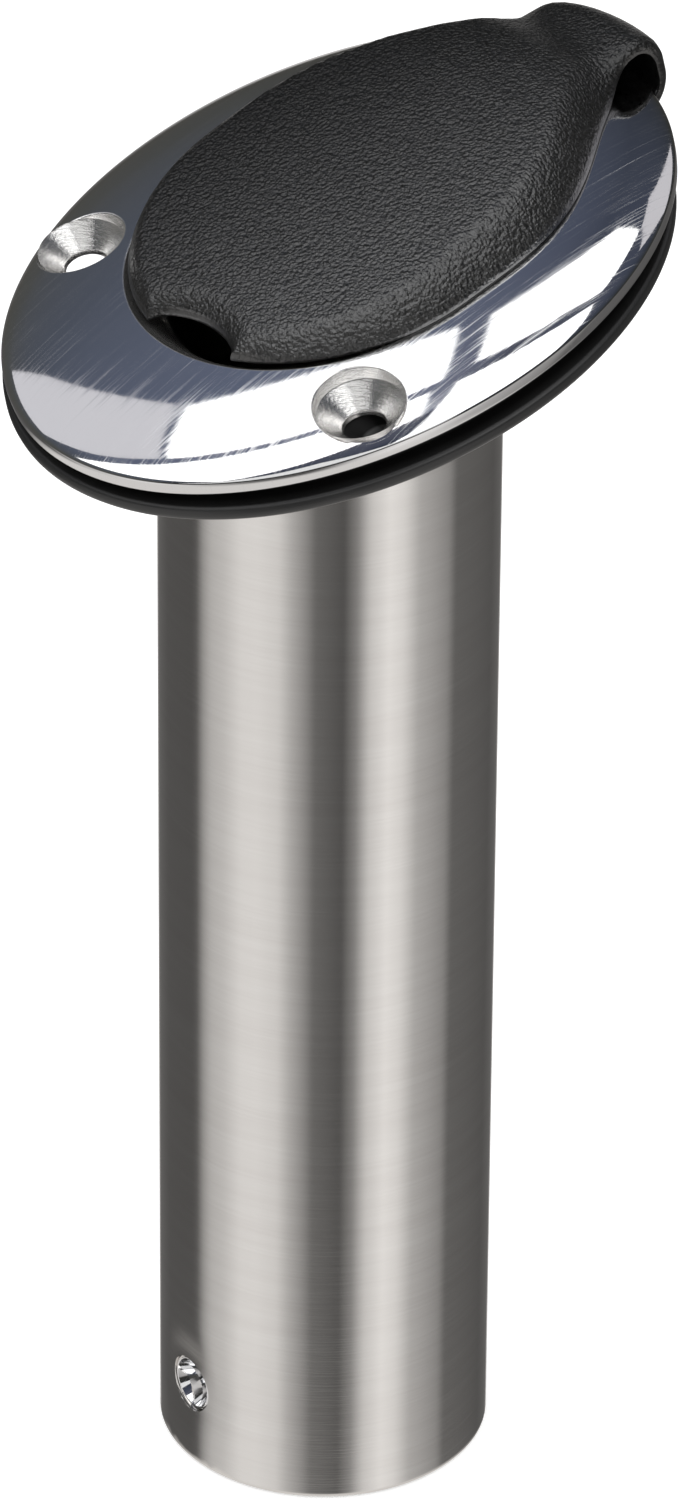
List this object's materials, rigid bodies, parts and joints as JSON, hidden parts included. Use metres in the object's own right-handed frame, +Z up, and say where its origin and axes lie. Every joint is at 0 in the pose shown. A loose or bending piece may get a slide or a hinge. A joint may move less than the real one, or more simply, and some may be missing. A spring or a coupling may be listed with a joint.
{
  "type": "rod holder",
  "caption": "Flush-mount fishing rod holder: a tube under a leaning oval flange, with a hinged mouth cap, gasket and cross pin at the foot.",
  "frame": {"origin": "where the tube's axis meets the plane of the flange's underside", "axes": "+Z up the tube and out of its mouth; the leaning flange is high at +X and its lean is about Y"},
  "size_m": [0.0966, 0.0784, 0.1974],
  "materials": {
    "polished_steel": "polished stainless steel with fine straight scratches",
    "brushed_steel": "stainless tube, finely brushed round its girth",
    "gasket_vinyl": "smooth satin black vinyl",
    "cap_vinyl": "black vinyl with a fine leather grain"
  },
  "bodies": {
    "holder": {"flange": "polished_steel", "tube": "brushed_steel", "weld_fillet": "brushed_steel", "cross_pin": "polished_steel", "gasket": "gasket_vinyl", "strap_root": "gasket_vinyl"},
    "lid": {"cap": "cap_vinyl", "strap": "cap_vinyl"}
  },
  "joints": [
    {"name": "cap_hinge", "type": "hinge", "parent": "holder", "child": "lid", "pos_m": [0.0455, 0, 0.01644], "axis": [0, 1, 0], "range_deg": [0, 130]}
  ]
}
